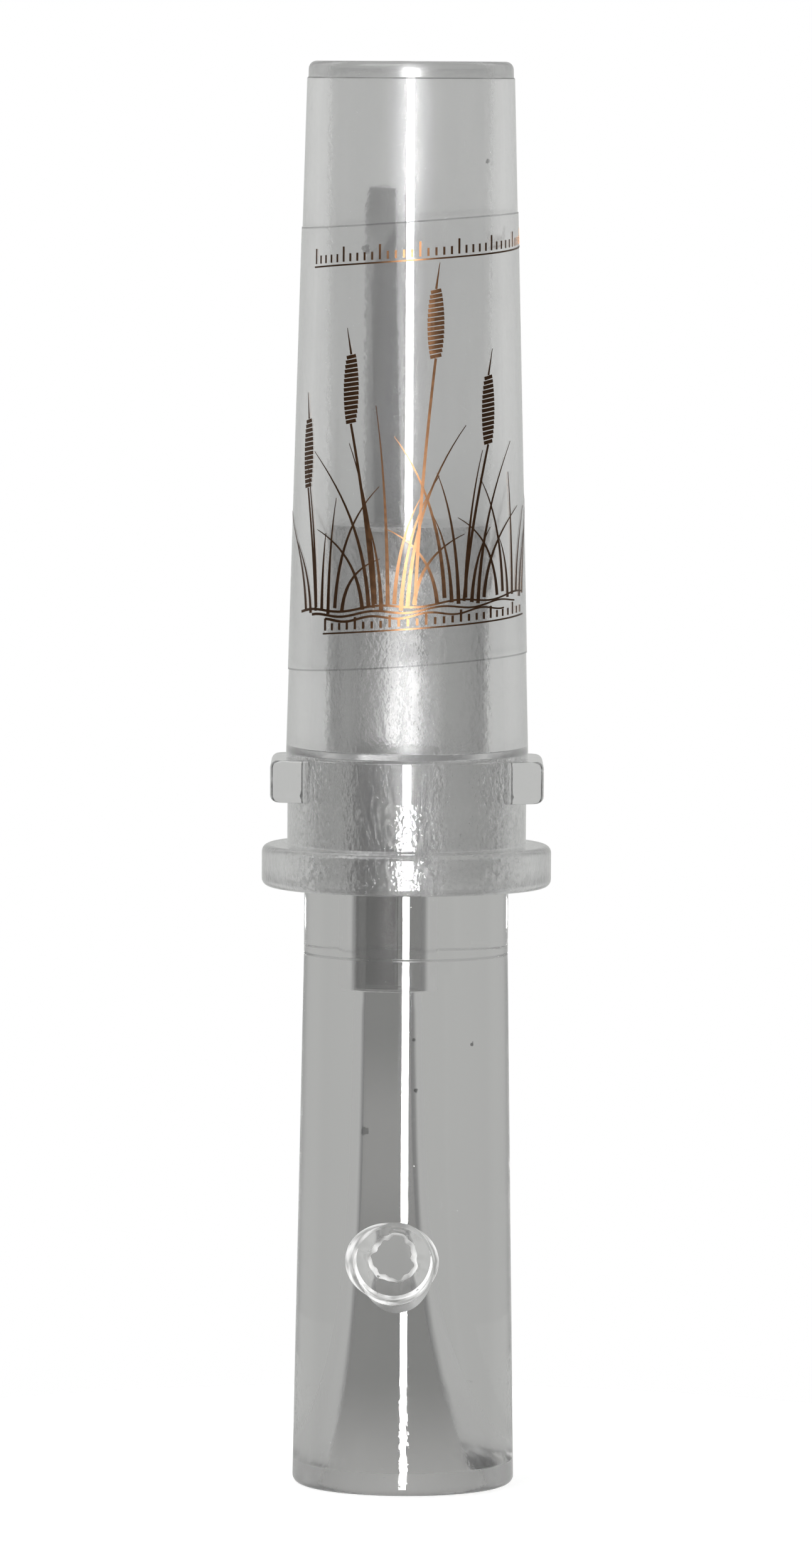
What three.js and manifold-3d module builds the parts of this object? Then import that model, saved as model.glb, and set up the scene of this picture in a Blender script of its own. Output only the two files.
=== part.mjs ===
// Clear plastic predator call: a belled insert that carries the reed, and a barrel that slips over it.
// Millimetres. +Z runs from the bell end to the mouthpiece, and the origin is the centre of the bell's end face.
import * as THREE from "three";
import { mergeVertices } from "three/addons/utils/BufferGeometryUtils.js";
import Module from "manifold-3d";

const wasm = await Module();
wasm.setup();

// Insert: the tapered body below its shoulder
const bellLength = 59.75;
const bellEndDiameter = 22.1;
const shoulderDiameter = 20.3;
const bellCorner = 0.8;
const seamDrop = 6.4; // the turned seam line lies this far under the shoulder
const seamWidth = 0.4;
const seamDepth = 0.12;

// Insert: the land that fits the barrel's socket, and the tenon that fits its bore
const landLength = 13.05;
const landDiameter = 19.5;
const shoulderCone = 0.5; // height of the cone between the land and the tenon
const tenonLength = 23.1;
const tenonDiameter = 15.88;
const tenonChamfer = 0.4;

// Insert: air way, bored off the body's axis, with its flare and its mouth lip
const coreOffset = 1.2;
const airwayDiameter = 4.5;
const flareDiameter = 16.1;
const flareReach = 10.5; // height in which the flare loses all but a third of its width
const lipDepth = 2;
const lipDiameter = 17.6;

// Insert: tone hole, drilled from the front into the air way
const toneHoleOffset = 1.05;
const toneHoleHeight = 22.9;
const toneHoleDiameter = 7.8;
const toneHoleFloor = 4.4; // distance of the drill's shoulder from the body's axis
const pilotDiameter = 4; // the pilot hole that goes on into the air way
const drillPointAngle = 118;
const toneHoleEdgeDiameter = 9.2;
const toneHoleEdgeDepth = 0.5;

// Barrel
const barrelLength = 81.95;
const mouthDiameter = 20.5;
const barrelRootDiameter = 24.1;
const flangeWidth = 4.15;
const flangeDiameter = 28.8;
const grooveWidth = 4.5;
const grooveDiameter = 23.75;
const earWidth = 4.2;
const earsAcross = 27.1;
const earSpan = 14; // from the front to the back of an ear
const earRoot = 0.6; // how deep an ear is sunk in the barrel's wall
const ringCorner = 0.75;
const rimRadius = 1.1;
const rimStepDrop = 1.7;
const rimStepDepth = 0.12;
const mouthEdge = 0.4;

// Fits between the two halves
const seatGap = 0.1;
const landClearance = 0.1;
const tenonClearance = 0.1;
const socketRelief = 0.2;

// Reed unit: tone board, reed and wedge in the insert's socket
const toneBoardDiameter = 6.5;
const toneBoardClearance = 0.1;
const toneBoardSunk = 46;
const toneBoardStand = 33.3;
const toneBoardFlat = 0.6; // distance of the flat from the tone board's axis
const layAngle = 1.3;
const tipChamfer = 0.4;
const troughWidth = 2.8;
const troughDepth = 2.3;
const troughStop = 4.5; // solid length left at the tip
const floorGap = 0.3;
const reedThickness = 0.36;
const reedWidth = 4.8;
const reedTipSetback = 0.6;
const reedTipRadius = 1.6;
const reedGap = 0.1;
const wedgeSunk = 21.8;
const wedgeDepth = 4.7; // its top lies this far under the tenon's end
const wedgeRelief = 1; // degrees that the wedge's lower face leans away from the reed
const wedgeGap = 0.1;
const reedTailSetback = 0.8;

// Label film wrapped round the barrel, a little skewed
const filmThickness = 0.06;
const filmGap = 0.02;
const filmHeight = 43.8;
const filmStart = 22.5; // from the barrel's lower end to the film's lower edge
const filmSkew = 4.3;
const filmSlit = 0.5;

// Fineness of the round forms
const bodySides = 64;
const coreSides = 40;
const cornerSteps = 4;
const reedTipSteps = 6;
const flareSteps = 14;
const flareCrowding = 1.5; // above 1, the flare's steps lie closer together near the mouth
const filmSteps = 6;
const weldDistance = 1e-5;
const past = 1; // how far a cutter runs past the faces that it cuts

// Heights along the call
const shoulderHeight = bellLength;
const landTop = shoulderHeight + landLength;
const tenonTop = landTop + tenonLength;
const barrelStart = shoulderHeight + seatGap;
const barrelEnd = barrelStart + barrelLength;
const flangeTop = barrelStart + flangeWidth;
const earStart = flangeTop + grooveWidth;
const earTop = earStart + earWidth;
const socketTop = landTop + socketRelief;
const coreSocketFloor = tenonTop - toneBoardSunk - floorGap;
const toneBoardStart = tenonTop - toneBoardSunk;
const toneBoardTip = tenonTop + toneBoardStand;
const wedgeStart = tenonTop - wedgeSunk;
const wedgeTop = tenonTop - wedgeDepth;
const layStart = wedgeTop;

const coreSocketRadius = toneBoardDiameter / 2 + toneBoardClearance;
const degrees = Math.PI / 180;

// Points of a quarter round from one angle to another, in the plane of radius and height
function corner(centreRadius, centreHeight, radius, fromAngle, toAngle) {
  const points = [];
  for (let step = 0; step <= cornerSteps; step += 1) {
    const angle = (fromAngle + ((toAngle - fromAngle) * step) / cornerSteps) * degrees;
    points.push([centreRadius + radius * Math.cos(angle), centreHeight + radius * Math.sin(angle)]);
  }
  return points;
}

// Turns [radius, height] points about the Z axis
function turned(points, sides) {
  const profile = points.map(([radius, height]) => new THREE.Vector2(radius, height));
  const geometry = new THREE.LatheGeometry(profile, sides);
  return geometry.rotateX(Math.PI / 2);
}

function solidOf(geometry) {
  geometry.deleteAttribute("normal");
  geometry.deleteAttribute("uv");
  const { index, attributes } = mergeVertices(geometry, weldDistance);
  const corners = Array.from(index.array);
  const triangles = [];
  for (let at = 0; at < corners.length; at += 3) {
    const [a, b, c] = corners.slice(at, at + 3);
    if (a !== b && b !== c && c !== a) {
      triangles.push(a, b, c);
    }
  }
  const mesh = new wasm.Mesh({
    numProp: 3,
    vertProperties: new Float32Array(attributes.position.array),
    triVerts: new Uint32Array(triangles),
  });
  return new wasm.Manifold(mesh);
}

function geometryOf(solid) {
  const { vertProperties, triVerts } = solid.getMesh();
  const geometry = new THREE.BufferGeometry();
  geometry.setAttribute("position", new THREE.BufferAttribute(new Float32Array(vertProperties), 3));
  geometry.setIndex(Array.from(triVerts));
  geometry.computeVertexNormals();
  return geometry;
}

// A box from its lowest to its highest corner
function block([x0, y0, z0], [x1, y1, z1]) {
  const geometry = new THREE.BoxGeometry(x1 - x0, y1 - y0, z1 - z0);
  return geometry.translate((x0 + x1) / 2, (y0 + y1) / 2, (z0 + z1) / 2);
}

// A box turned about the Y direction through a point, to cut a leaning face
function leaningBlock(low, high, angle, [x, y, z]) {
  const geometry = block(low, high).translate(-x, -y, -z);
  return geometry.rotateY(angle * degrees).translate(x, y, z);
}

// Barrel: outside radius above the groove
function barrelRadius(height) {
  const share = (height - earTop) / (barrelEnd - earTop);
  return (barrelRootDiameter + (mouthDiameter - barrelRootDiameter) * share) / 2;
}

function ringProfile(low, high, diameter) {
  const radius = diameter / 2 - ringCorner;
  return [
    ...corner(radius, low + ringCorner, ringCorner, -90, 0),
    ...corner(radius, high - ringCorner, ringCorner, 0, 90),
  ];
}

// Barrel: one of the two ears at its sides, a rounded block that reaches into the barrel's wall
function makeEar(side) {
  const inner = grooveDiameter / 2 - earRoot;
  const reach = earsAcross / 2;
  const outline = new THREE.Shape();
  outline.moveTo(0, earStart);
  outline.lineTo(reach - ringCorner, earStart);
  outline.absarc(reach - ringCorner, earStart + ringCorner, ringCorner, -Math.PI / 2, 0, false);
  outline.lineTo(reach, earTop - ringCorner);
  outline.absarc(reach - ringCorner, earTop - ringCorner, ringCorner, 0, Math.PI / 2, false);
  outline.lineTo(0, earTop);
  outline.lineTo(0, earStart);
  const tab = new THREE.ExtrudeGeometry(outline, {
    depth: earSpan,
    bevelEnabled: false,
    curveSegments: cornerSteps,
  });
  tab.translate(0, 0, -earSpan / 2).rotateX(Math.PI / 2);
  if (side < 0) {
    tab.rotateZ(Math.PI);
  }
  const hollow = turned(
    [
      [0, earStart - past],
      [inner, earStart - past],
      [inner, earTop + past],
      [0, earTop + past],
    ],
    bodySides,
  );
  return solidOf(tab).subtract(solidOf(hollow));
}

function barrelTube() {
  const boreRadius = tenonDiameter / 2 + tenonClearance;
  const socketRadius = landDiameter / 2 + landClearance;
  const stepHeight = barrelEnd - rimStepDrop;
  const rimOuter = barrelRadius(barrelEnd) - rimStepDepth;
  const first = [socketRadius + mouthEdge, barrelStart];
  return turned(
    [
      first,
      ...ringProfile(barrelStart, flangeTop, flangeDiameter),
      [grooveDiameter / 2, flangeTop],
      [grooveDiameter / 2, earTop],
      [barrelRadius(earTop), earTop],
      [barrelRadius(stepHeight), stepHeight],
      [barrelRadius(stepHeight) - rimStepDepth, stepHeight + rimStepDepth],
      ...corner(rimOuter - rimRadius, barrelEnd - rimRadius, rimRadius, 0, 90),
      [boreRadius + mouthEdge, barrelEnd],
      [boreRadius, barrelEnd - mouthEdge],
      [boreRadius, socketTop + shoulderCone],
      [socketRadius, socketTop],
      [socketRadius, barrelStart + mouthEdge],
      first,
    ],
    bodySides,
  );
}

function makeBarrel() {
  return geometryOf(solidOf(barrelTube()).add(makeEar(-1)).add(makeEar(1)));
}

// Insert: outside, as a solid of revolution
function insertOutside() {
  const endRadius = bellEndDiameter / 2;
  const shoulderRadius = shoulderDiameter / 2;
  const seamHeight = shoulderHeight - seamDrop;
  const bodyTaper = (endRadius - shoulderRadius) / seamHeight;
  const cornerTop = endRadius - bodyTaper * bellCorner;
  return turned(
    [
      [0, 0],
      ...corner(cornerTop - bellCorner, bellCorner, bellCorner, -90, 0),
      [shoulderRadius, seamHeight - seamWidth],
      [shoulderRadius - seamDepth, seamHeight - seamWidth / 2],
      [shoulderRadius, seamHeight],
      [shoulderRadius, shoulderHeight],
      [landDiameter / 2, shoulderHeight],
      [landDiameter / 2, landTop],
      [tenonDiameter / 2, landTop + shoulderCone],
      [tenonDiameter / 2, tenonTop - tenonChamfer],
      [tenonDiameter / 2 - tenonChamfer, tenonTop],
      [0, tenonTop],
    ],
    bodySides,
  );
}

// Share of the flare that is left at a height: all of it at the lip, none up the air way
function flareShare(height) {
  return Math.exp(-(height - lipDepth) / flareReach);
}

// Insert: the air way from the mouth to the reed's socket, leaning over to its own axis above the flare
function insertCore() {
  const airwayRadius = airwayDiameter / 2;
  const lipSlope = (lipDiameter - flareDiameter) / 2 / lipDepth;
  const points = [
    [0, -past],
    [lipDiameter / 2 + lipSlope * past, -past],
  ];
  for (let step = 0; step < flareSteps; step += 1) {
    const height = lipDepth + (coreSocketFloor - lipDepth) * (step / flareSteps) ** flareCrowding;
    points.push([airwayRadius + (flareDiameter / 2 - airwayRadius) * flareShare(height), height]);
  }
  points.push([airwayRadius, coreSocketFloor]);
  points.push([coreSocketRadius, coreSocketFloor]);
  points.push([coreSocketRadius, tenonTop + past]);
  points.push([0, tenonTop + past]);
  const geometry = turned(points, coreSides);
  const place = geometry.attributes.position;
  for (let at = 0; at < place.count; at += 1) {
    const share = 1 - Math.min(1, flareShare(place.getZ(at)));
    place.setX(at, place.getX(at) - coreOffset * share);
  }
  return geometry;
}

// Insert: the tone hole's cutter, a drill with its point and the countersunk edge, along -Y
function toneHoleCutter() {
  const outside = bellEndDiameter;
  const radius = toneHoleDiameter / 2;
  const pilot = pilotDiameter / 2;
  const point = (radius - pilot) / Math.tan((drillPointAngle / 2) * degrees);
  const share = toneHoleHeight / (shoulderHeight - seamDrop);
  const skin = (bellEndDiameter + (shoulderDiameter - bellEndDiameter) * share) / 2;
  const edge = toneHoleEdgeDiameter / 2;
  const geometry = turned(
    [
      [0, 0],
      [pilot, 0],
      [pilot, toneHoleFloor - point],
      [radius, toneHoleFloor],
      [radius, skin - toneHoleEdgeDepth],
      [edge, skin],
      [edge, outside],
      [0, outside],
    ],
    coreSides,
  );
  return geometry.rotateX(Math.PI / 2).translate(-toneHoleOffset, 0, toneHoleHeight);
}

function makeInsert() {
  const body = solidOf(insertOutside());
  const bored = body.subtract(solidOf(insertCore()));
  return geometryOf(bored.subtract(solidOf(toneHoleCutter())));
}

// Tone board: a rod with its flat towards +X, the lay leaning back to the tip, and the trough for the air
function makeToneBoard() {
  const radius = toneBoardDiameter / 2;
  const reach = toneBoardDiameter;
  const rod = turned(
    [
      [0, toneBoardStart],
      [radius, toneBoardStart],
      [radius, toneBoardTip - tipChamfer],
      [radius - tipChamfer, toneBoardTip],
      [0, toneBoardTip],
    ],
    coreSides,
  );
  const flat = block([toneBoardFlat, -reach, toneBoardStart - past], [reach, reach, toneBoardTip + past]);
  const lay = leaningBlock(
    [toneBoardFlat, -reach, layStart],
    [toneBoardFlat + reach, reach, toneBoardTip + reach],
    -layAngle,
    [toneBoardFlat, 0, layStart],
  );
  const trough = block(
    [toneBoardFlat - troughDepth, -troughWidth / 2, toneBoardStart - past],
    [reach, troughWidth / 2, toneBoardTip - troughStop],
  );
  const cut = solidOf(rod).subtract(solidOf(flat)).subtract(solidOf(lay)).subtract(solidOf(trough));
  return geometryOf(cut).translate(-coreOffset, 0, 0);
}

// Reed: a thin strip over the trough, with a rounded free end
function makeReed() {
  const low = wedgeStart + reedTailSetback;
  const high = toneBoardTip - reedTipSetback;
  const half = reedWidth / 2;
  const outline = new THREE.Shape();
  outline.moveTo(-half, low);
  outline.lineTo(half, low);
  outline.lineTo(half, high - reedTipRadius);
  outline.absarc(half - reedTipRadius, high - reedTipRadius, reedTipRadius, 0, Math.PI / 2, false);
  outline.lineTo(reedTipRadius - half, high);
  outline.absarc(reedTipRadius - half, high - reedTipRadius, reedTipRadius, Math.PI / 2, Math.PI, false);
  outline.lineTo(-half, low);
  const strip = new THREE.ExtrudeGeometry(outline, {
    depth: reedThickness,
    bevelEnabled: false,
    curveSegments: reedTipSteps,
  });
  strip.rotateX(Math.PI / 2).rotateZ(Math.PI / 2);
  return strip.translate(toneBoardFlat + reedGap - coreOffset, 0, 0);
}

// Wedge: the round segment that is left between the reed and the socket, pressing the reed down
function makeWedge() {
  const radius = toneBoardDiameter / 2;
  const face = toneBoardFlat + reedGap + reedThickness + wedgeGap;
  const reach = toneBoardDiameter;
  const rod = turned(
    [
      [0, wedgeStart],
      [radius, wedgeStart],
      [radius, wedgeTop],
      [0, wedgeTop],
    ],
    coreSides,
  );
  const front = block([-reach, -reach, wedgeStart - past], [face, reach, wedgeTop + past]);
  const relief = leaningBlock(
    [face - reach, -reach, wedgeStart - reach],
    [face, reach, wedgeTop],
    -wedgeRelief,
    [face, 0, wedgeTop],
  );
  const cut = solidOf(rod).subtract(solidOf(front)).subtract(solidOf(relief));
  return geometryOf(cut).translate(-coreOffset, 0, 0);
}

// Label film: a thin sleeve on the barrel's taper, cut skew at both edges and slit at the back
function makeLabelFilm() {
  const low = barrelStart + filmStart;
  const high = low + filmHeight;
  const spare = barrelRootDiameter * Math.tan(filmSkew * degrees);
  const reach = barrelRootDiameter;
  const points = [];
  for (let step = 0; step <= filmSteps; step += 1) {
    const height = low - spare + ((filmHeight + 2 * spare) * step) / filmSteps;
    points.push([barrelRadius(height) + filmGap + filmThickness, height]);
  }
  for (let step = filmSteps; step >= 0; step -= 1) {
    const height = low - spare + ((filmHeight + 2 * spare) * step) / filmSteps;
    points.push([barrelRadius(height) + filmGap, height]);
  }
  points.push(points[0]);
  const under = leaningBlock([-reach, -reach, low - reach], [reach, reach, low], -filmSkew, [0, 0, low]);
  const over = leaningBlock([-reach, -reach, high], [reach, reach, high + reach], -filmSkew, [0, 0, high]);
  const slit = block([-filmSlit / 2, 0, low - reach], [filmSlit / 2, reach, high + reach]);
  const sleeve = solidOf(turned(points, bodySides)).subtract(solidOf(under)).subtract(solidOf(over));
  return geometryOf(sleeve.subtract(solidOf(slit)));
}

const clearAcrylic = { color: 0xd9d9d6, roughness: 0.08, metalness: 0, transparent: true, opacity: 0.45 };
const smokeAcrylic = { color: 0xb4b4b2, roughness: 0.08, metalness: 0, transparent: true, opacity: 0.6 };
const clearFilm = { color: 0xf2f2ef, roughness: 0.15, metalness: 0, transparent: true, opacity: 0.25 };
const reedSheet = { color: 0xdfe2e2, roughness: 0.25, metalness: 0, transparent: true, opacity: 0.6 };
const wedgePlastic = { color: 0x9a9b9a, roughness: 0.4, metalness: 0, transparent: true, opacity: 0.8 };

function piece(name, geometry, finish) {
  const mesh = new THREE.Mesh(geometry, new THREE.MeshStandardMaterial(finish));
  mesh.name = name;
  return mesh;
}

const call = new THREE.Group();
call.add(
  piece("insert", makeInsert(), smokeAcrylic),
  piece("barrel", makeBarrel(), clearAcrylic),
  piece("tone_board", makeToneBoard(), smokeAcrylic),
  piece("reed", makeReed(), reedSheet),
  piece("wedge", makeWedge(), wedgePlastic),
  piece("label_film", makeLabelFilm(), clearFilm),
);

export default call;
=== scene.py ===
import math

import bmesh
import bpy
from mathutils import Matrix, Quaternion, Vector


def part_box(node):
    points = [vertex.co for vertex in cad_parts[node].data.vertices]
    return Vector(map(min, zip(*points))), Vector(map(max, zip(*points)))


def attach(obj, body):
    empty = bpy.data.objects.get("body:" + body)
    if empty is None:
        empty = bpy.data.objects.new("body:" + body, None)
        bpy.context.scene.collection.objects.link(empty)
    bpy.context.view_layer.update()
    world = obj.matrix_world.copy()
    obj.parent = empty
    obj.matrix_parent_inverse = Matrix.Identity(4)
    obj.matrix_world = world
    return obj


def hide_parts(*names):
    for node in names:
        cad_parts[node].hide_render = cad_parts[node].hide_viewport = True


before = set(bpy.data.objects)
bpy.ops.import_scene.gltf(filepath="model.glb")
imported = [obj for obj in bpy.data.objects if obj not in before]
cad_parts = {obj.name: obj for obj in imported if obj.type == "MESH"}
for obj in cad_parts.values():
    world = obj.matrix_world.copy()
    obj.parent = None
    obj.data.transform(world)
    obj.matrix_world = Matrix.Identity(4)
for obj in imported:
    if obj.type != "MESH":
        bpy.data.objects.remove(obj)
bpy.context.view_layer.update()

mm = 0.001
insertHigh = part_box("insert")[1].z / mm
barrelLow, barrelHigh = (corner.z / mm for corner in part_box("barrel"))
boardLow, boardHigh = (corner.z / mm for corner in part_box("tone_board"))
wedgeLow, wedgeHigh = (corner.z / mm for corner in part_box("wedge"))
reedLow, reedHigh = (corner.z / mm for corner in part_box("reed"))

# Settings that the turned pieces share, in mm and degrees
turning = {
    "sides": 192,
    "arcStep": 15,       # one facet of a rounded edge per this many degrees
    "straight": 89,      # a corner whose half angle is over this gets no round
    "roundShare": 0.49,  # a round takes up at most this share of each line beside it
    "sharpAngle": 32,
    "near": 0.01,        # measures that differ by less are the same
    "coreOffset": 1.2,   # the air way and the reed unit lie this far to -X of the bodies' axis
}


# Mesh helpers

def filletCorner(before, at, after, radius):
    # Points of the round that takes the place of a profile's corner.
    a = Vector(before[:2]) - Vector(at[:2])
    b = Vector(after[:2]) - Vector(at[:2])
    half = a.angle(b) / 2
    if radius <= 0 or half > math.radians(turning["straight"]):
        return [tuple(at[:2])]
    run = min(radius / math.tan(half), turning["roundShare"] * min(a.length, b.length))
    radius = run * math.tan(half)
    a.normalize()
    b.normalize()
    centre = Vector(at[:2]) + (a + b).normalized() * (radius / math.sin(half))
    start = Vector(at[:2]) + a * run - centre
    sweep = math.pi - 2 * half
    side = 1 if a.x * b.y - a.y * b.x < 0 else -1
    steps = max(2, round(math.degrees(sweep) / turning["arcStep"]))
    points = []
    for step in range(steps + 1):
        angle = side * sweep * step / steps
        turned = (start.x * math.cos(angle) - start.y * math.sin(angle),
                  start.x * math.sin(angle) + start.y * math.cos(angle))
        points.append((centre.x + turned[0], centre.y + turned[1]))
    return points


def roundedProfile(corners):
    # A closed profile of (radius, height) points from corners that carry their own round.
    points = []
    count = len(corners)
    for index, corner in enumerate(corners):
        points += filletCorner(corners[index - 1], corner, corners[(index + 1) % count], corner[2])
    return points


def loftRings(name, rings, bandMaterials=None, closed=True, capped=False):
    # A mesh through rings of points, in mm; closed joins the last ring to the first.
    mesh = bpy.data.meshes.new(name)
    build = bmesh.new()
    rows = [[build.verts.new(Vector(point) * mm) for point in ring] for ring in rings]
    pairs = list(zip(rows, rows[1:] + rows[:1])) if closed else list(zip(rows, rows[1:]))
    for band, (low, high) in enumerate(pairs):
        for index in range(len(low)):
            following = (index + 1) % len(low)
            face = build.faces.new((low[index], low[following], high[following], high[index]))
            face.material_index = bandMaterials[band] if bandMaterials else 0
    if capped:
        build.faces.new(rows[0][::-1])
        build.faces.new(rows[-1])
    bmesh.ops.recalc_face_normals(build, faces=build.faces)
    build.to_mesh(mesh)
    build.free()
    piece = bpy.data.objects.new(name, mesh)
    bpy.context.scene.collection.objects.link(piece)
    return piece


def turnedRing(radius, height, sides, shift=0.0):
    return [(radius * math.sin(math.tau * side / sides) + shift,
             -radius * math.cos(math.tau * side / sides), height) for side in range(sides)]


def markSharp(piece):
    piece.data.set_sharp_from_angle(angle=math.radians(turning["sharpAngle"]))
    return piece


def shadeRound(piece):
    piece.data.shade_smooth()
    return markSharp(piece)


def shadeTurned(piece):
    weighted = shadeRound(piece).modifiers.new("evenNormals", "WEIGHTED_NORMAL")
    weighted.keep_sharp = True
    return piece


def cutAway(piece, cutter):
    # Subtracts the cutter, whose faces keep their own material, and applies the result.
    cut = piece.modifiers.new("cut", "BOOLEAN")
    cut.operation = "DIFFERENCE"
    cut.solver = "EXACT"
    cut.material_mode = "TRANSFER"
    cut.object = cutter
    bpy.context.view_layer.update()
    result = bpy.data.meshes.new_from_object(
        piece.evaluated_get(bpy.context.evaluated_depsgraph_get()))
    piece.modifiers.clear()
    piece.data = result
    bpy.data.objects.remove(cutter)
    return piece


def finishPiece(piece, body, slotName, *nodes):
    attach(piece, body)
    if nodes:
        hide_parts(*nodes)
    return piece


# Shader helpers

def grey(level, warmth=0.0):
    return (level * (1 + warmth), level, level * (1 - warmth), 1)


def feed(tree, socket, value):
    # Links another node's output to the socket, or sets the socket's own number or colour.
    if isinstance(value, bpy.types.NodeSocket):
        tree.links.new(value, socket)
    else:
        socket.default_value = value


def addNode(tree, kind, inputs=None, **settings):
    # A shader node with its settings, its inputs fed by their names or places.
    node = tree.nodes.new(kind)
    for setting, value in settings.items():
        setattr(node, setting, value)
    for label, value in (inputs or {}).items():
        feed(tree, node.inputs[label], value)
    return node


def mathNode(tree, operation, *values):
    return addNode(tree, "ShaderNodeMath", dict(enumerate(values)), operation=operation).outputs[0]


def mixColors(tree, factor, first, second, blend="MIX"):
    mix = addNode(tree, "ShaderNodeMix", data_type="RGBA", blend_type=blend)
    for label, value in (("Factor", factor), ("A", first), ("B", second)):
        feed(tree, mix.inputs[label], value)
    return mix.outputs["Result"]


def addGroup(tree, group, values):
    return addNode(tree, "ShaderNodeGroup", values, node_tree=group)


def objectPlace(tree):
    return addNode(tree, "ShaderNodeTexCoord").outputs["Object"]


def socketKind(value):
    if isinstance(value, float):
        return "NodeSocketFloat"
    return "NodeSocketVector" if len(value) == 3 else "NodeSocketColor"


def newGroup(name, inputs, outputs):
    # A shader node group with named inputs, given with their usual values, and named outputs.
    group = bpy.data.node_groups.new(name, "ShaderNodeTree")
    for label, value in inputs.items():
        socket = group.interface.new_socket(name=label, in_out="INPUT", socket_type=socketKind(value))
        socket.default_value = value
    for label, kind in outputs.items():
        group.interface.new_socket(name=label, in_out="OUTPUT", socket_type=kind)
    return group, group.nodes.new("NodeGroupInput"), group.nodes.new("NodeGroupOutput")


def scaledHeight(tree, place, operation, factor):
    # The same place with its height multiplied or divided by a factor.
    split = addNode(tree, "ShaderNodeSeparateXYZ", {0: place})
    height = mathNode(tree, operation, split.outputs["Z"], factor)
    join = {0: split.outputs["X"], 1: split.outputs["Y"], 2: height}
    return addNode(tree, "ShaderNodeCombineXYZ", join).outputs[0]


# How the surface marks are made: smudges gather in few places, and specks are pits
markShape = {
    "smudgeDetail": 3.0,
    "smudgePower": 3.0,
    "speckDepth": 0.5,
}


def makeSurfaceMarks():
    # Fine scratches along the body, smudges and sparse specks, in object space.
    group, entry, leave = newGroup(
        "surfaceMarks",
        {
            "Scratch Scale": 900.0,
            "Stretch": 0.05,
            "Smudge Scale": 90.0,
            "Base Roughness": 0.03,
            "Smudge Roughness": 0.05,
            "Speck Scale": 700.0,
            "Speck Size": 0.12,
        },
        {"Roughness": "NodeSocketFloat", "Height": "NodeSocketFloat"},
    )
    place = objectPlace(group)
    scratch = addNode(group, "ShaderNodeTexNoise", {
        "Vector": scaledHeight(group, place, "MULTIPLY", entry.outputs["Stretch"]),
        "Scale": entry.outputs["Scratch Scale"],
    })
    smudge = addNode(group, "ShaderNodeTexNoise", {
        "Vector": place,
        "Scale": entry.outputs["Smudge Scale"],
        "Detail": markShape["smudgeDetail"],
    })
    cells = addNode(group, "ShaderNodeTexVoronoi", {"Vector": place, "Scale": entry.outputs["Speck Scale"]})
    specks = mathNode(group, "LESS_THAN", cells.outputs["Distance"], entry.outputs["Speck Size"])
    smudged = mathNode(group, "POWER", smudge.outputs["Fac"], markShape["smudgePower"])
    extra = mathNode(group, "MULTIPLY", smudged, entry.outputs["Smudge Roughness"])
    rough = mathNode(group, "ADD", extra, entry.outputs["Base Roughness"])
    pits = mathNode(group, "MULTIPLY", specks, markShape["speckDepth"])
    height = mathNode(group, "SUBTRACT", scratch.outputs["Fac"], pits)
    feed(group, leave.inputs["Roughness"], rough)
    feed(group, leave.inputs["Height"], height)
    return group


def makeHeightTint():
    # A colour that changes between two heights of the call, given in metres.
    group, entry, leave = newGroup(
        "heightTint",
        {"Low": 0.0, "High": 0.1, "Low Color": grey(0.5), "High Color": grey(0.5)},
        {"Color": "NodeSocketColor"},
    )
    split = addNode(group, "ShaderNodeSeparateXYZ", {0: objectPlace(group)})
    ramp = addNode(group, "ShaderNodeMapRange", {
        "Value": split.outputs["Z"],
        "From Min": entry.outputs["Low"],
        "From Max": entry.outputs["High"],
    }, interpolation_type="SMOOTHSTEP")
    first, second = entry.outputs["Low Color"], entry.outputs["High Color"]
    feed(group, leave.inputs["Color"], mixColors(group, ramp.outputs["Result"], first, second))
    return group


# The ragged edge of a fleck, in shares of its radius
fleckEdge = {
    "noiseScale": 3500.0,
    "ragged": 1.6,
    "outer": 1.1,
    "inner": 0.8,
}


def makeFleckMask():
    # One at a small spot of the surface, given in metres, falling to nothing at its ragged edge.
    group, entry, leave = newGroup(
        "fleckMask",
        {"Place": (0.0, 0.0, 0.0), "Radius": 0.0004, "Stretch": 1.0},
        {"Mask": "NodeSocketFloat"},
    )
    here = objectPlace(group)
    away = addNode(group, "ShaderNodeVectorMath",
                   {0: here, 1: entry.outputs["Place"]}, operation="SUBTRACT")
    spot = scaledHeight(group, away.outputs[0], "DIVIDE", entry.outputs["Stretch"])
    reach = addNode(group, "ShaderNodeVectorMath", {0: spot}, operation="LENGTH")
    noise = addNode(group, "ShaderNodeTexNoise", {"Vector": here, "Scale": fleckEdge["noiseScale"]})
    depth = fleckEdge["ragged"]
    ragged = mathNode(group, "MULTIPLY_ADD", noise.outputs["Fac"], depth, -depth / 2)
    share = mathNode(group, "DIVIDE", reach.outputs["Value"], entry.outputs["Radius"])
    ramp = addNode(group, "ShaderNodeMapRange", {
        "Value": mathNode(group, "ADD", share, ragged),
        "From Min": fleckEdge["outer"],
        "From Max": fleckEdge["inner"],
    })
    feed(group, leave.inputs["Mask"], ramp.outputs["Result"])
    return group


surfaceMarks = makeSurfaceMarks()
heightTint = makeHeightTint()
fleckMask = makeFleckMask()

# What the clear plastic's surfaces share; each look below changes or adds to it.
# A tint is one level, or tints are steps of two heights in mm and the levels there.
# Flecks are small marks on the outside: place, radius, stretch in height, and their level.
plainPlastic = {
    "ior": 1.49,
    "coat": 0.0,
    "coatRoughness": 0.2,
    "warmth": 0.0,
}
# How the scratches' height makes a painted glow of the given least and most strength
glowShape = {
    "gain": 2.4,
    "start": 0.7,
}


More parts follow.
